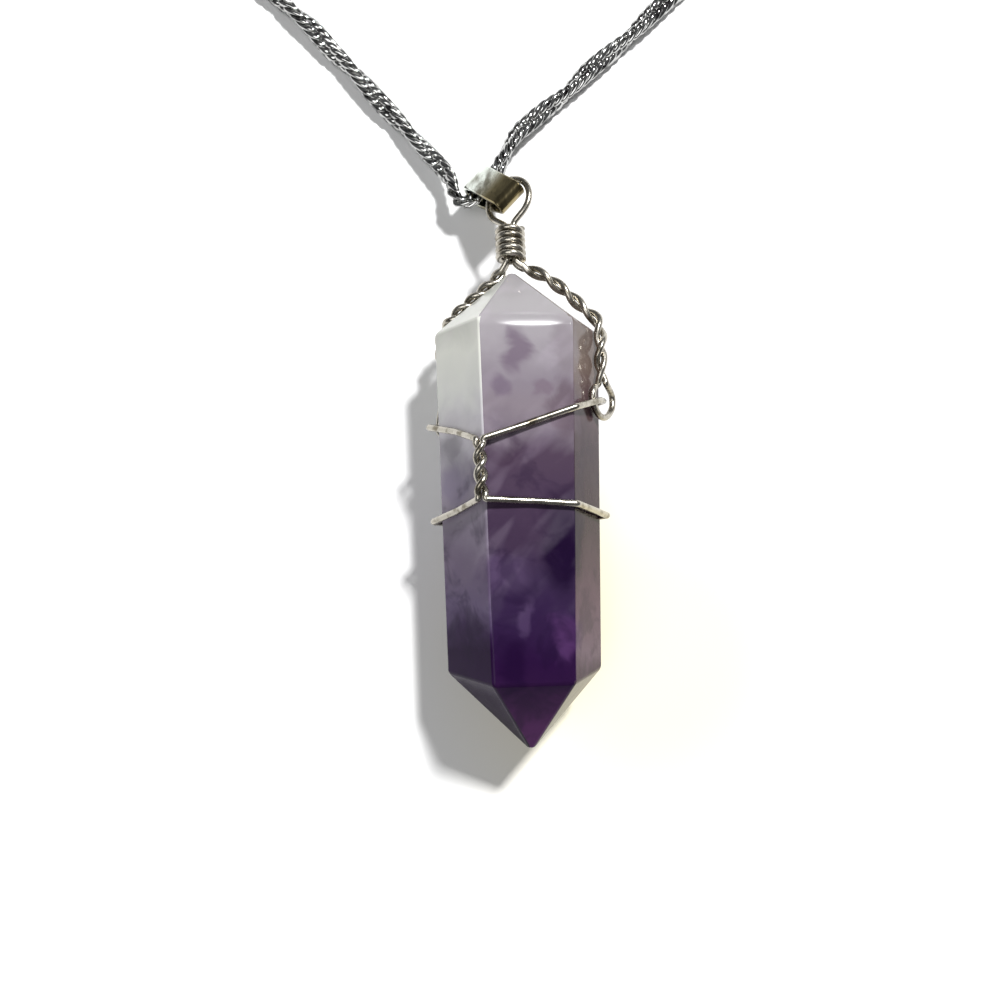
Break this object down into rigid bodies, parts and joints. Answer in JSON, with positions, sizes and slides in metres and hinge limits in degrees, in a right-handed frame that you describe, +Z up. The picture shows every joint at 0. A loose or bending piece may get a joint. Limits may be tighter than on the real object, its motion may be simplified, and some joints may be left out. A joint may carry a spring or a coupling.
{
  "type": "crystal point pendant necklace",
  "caption": "Double-ended hexagonal purple crystal point wrapped in silver-coloured wire, hanging from a strip bail on a fine twisted chain, lying flat.",
  "frame": {"origin": "on the surface it lies on, at the middle of the overall box", "axes": "+Y from the crystal's lower tip towards the clasp, +X to the wearer's left as the picture shows it, +Z up off the surface"},
  "size_m": [0.137, 0.2167, 0.0152],
  "materials": {
    "crystal": "polished, milky above and deep purple below",
    "wire": "bright drawn wire",
    "bail": "polished strip, slightly worn",
    "chain": "bright twisted links"
  },
  "bodies": {
    "root": {"crystal_point": "crystal", "band_wire": "wire", "hanger_right": "wire", "hanger_left": "wire", "neck_coil": "wire", "hanging_loop": "wire", "bail": "bail", "chain": "chain", "end_ring_left": "chain", "end_ring_right": "chain", "clasp": "chain"}
  },
  "joints": []
}
